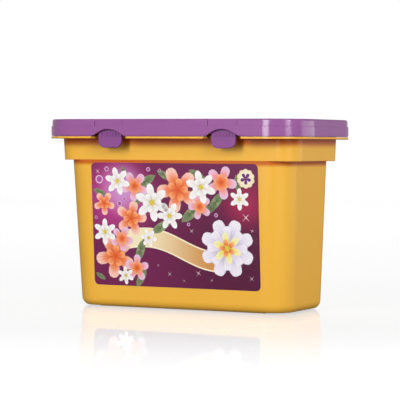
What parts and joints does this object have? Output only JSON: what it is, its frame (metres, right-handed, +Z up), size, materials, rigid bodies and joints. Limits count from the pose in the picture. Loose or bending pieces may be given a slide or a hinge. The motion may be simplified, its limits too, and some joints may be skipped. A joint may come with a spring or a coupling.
{
  "type": "laundry pod tub",
  "caption": "Tapered plastic tub with a collar and thin flange, a hinged two-tier lid held by front latch tabs, a flat front label, and laundry pods inside.",
  "frame": {"origin": "middle of the tub's foot, on the surface that it stands on", "axes": "+Z up, -Y towards the label and the latches, +X to the right of someone facing the label"},
  "size_m": [0.18, 0.096, 0.1176],
  "materials": {
    "tub": "satin moulded polypropylene, warm yellow",
    "lid": "glossy moulded polypropylene, purple",
    "latch": "fine-grained moulded polypropylene, purple",
    "label": "printed film, plum ground",
    "pod": "clear film over coloured gel"
  },
  "bodies": {
    "tub": {"tub": "tub", "front_label": "label", "pod_01": "pod", "pod_02": "pod", "pod_03": "pod", "pod_04": "pod", "pod_05": "pod", "pod_06": "pod", "pod_07": "pod", "pod_08": "pod", "pod_09": "pod", "pod_10": "pod", "pod_11": "pod", "pod_12": "pod", "pod_13": "pod", "pod_14": "pod", "pod_15": "pod", "pod_16": "pod", "pod_17": "pod", "pod_18": "pod", "pod_19": "pod", "pod_20": "pod"},
    "lid": {"lid": "lid"},
    "left_latch": {"left_latch_tab": "latch"},
    "right_latch": {"right_latch_tab": "latch"}
  },
  "joints": [
    {"name": "lid_hinge", "type": "hinge", "parent": "tub", "child": "lid", "pos_m": [0, 0.046, 0.1054], "axis": [-1, 0, 0], "range_deg": [0, 110]},
    {"name": "left_latch_swing", "type": "hinge", "parent": "lid", "child": "left_latch", "pos_m": [-0.039, -0.0436, 0.112], "axis": [-1, 0, 0], "range_deg": [0, 12], "stiffness_Nm_per_rad": 0.2},
    {"name": "right_latch_swing", "type": "hinge", "parent": "lid", "child": "right_latch", "pos_m": [0.039, -0.0436, 0.112], "axis": [-1, 0, 0], "range_deg": [0, 12], "stiffness_Nm_per_rad": 0.2}
  ]
}
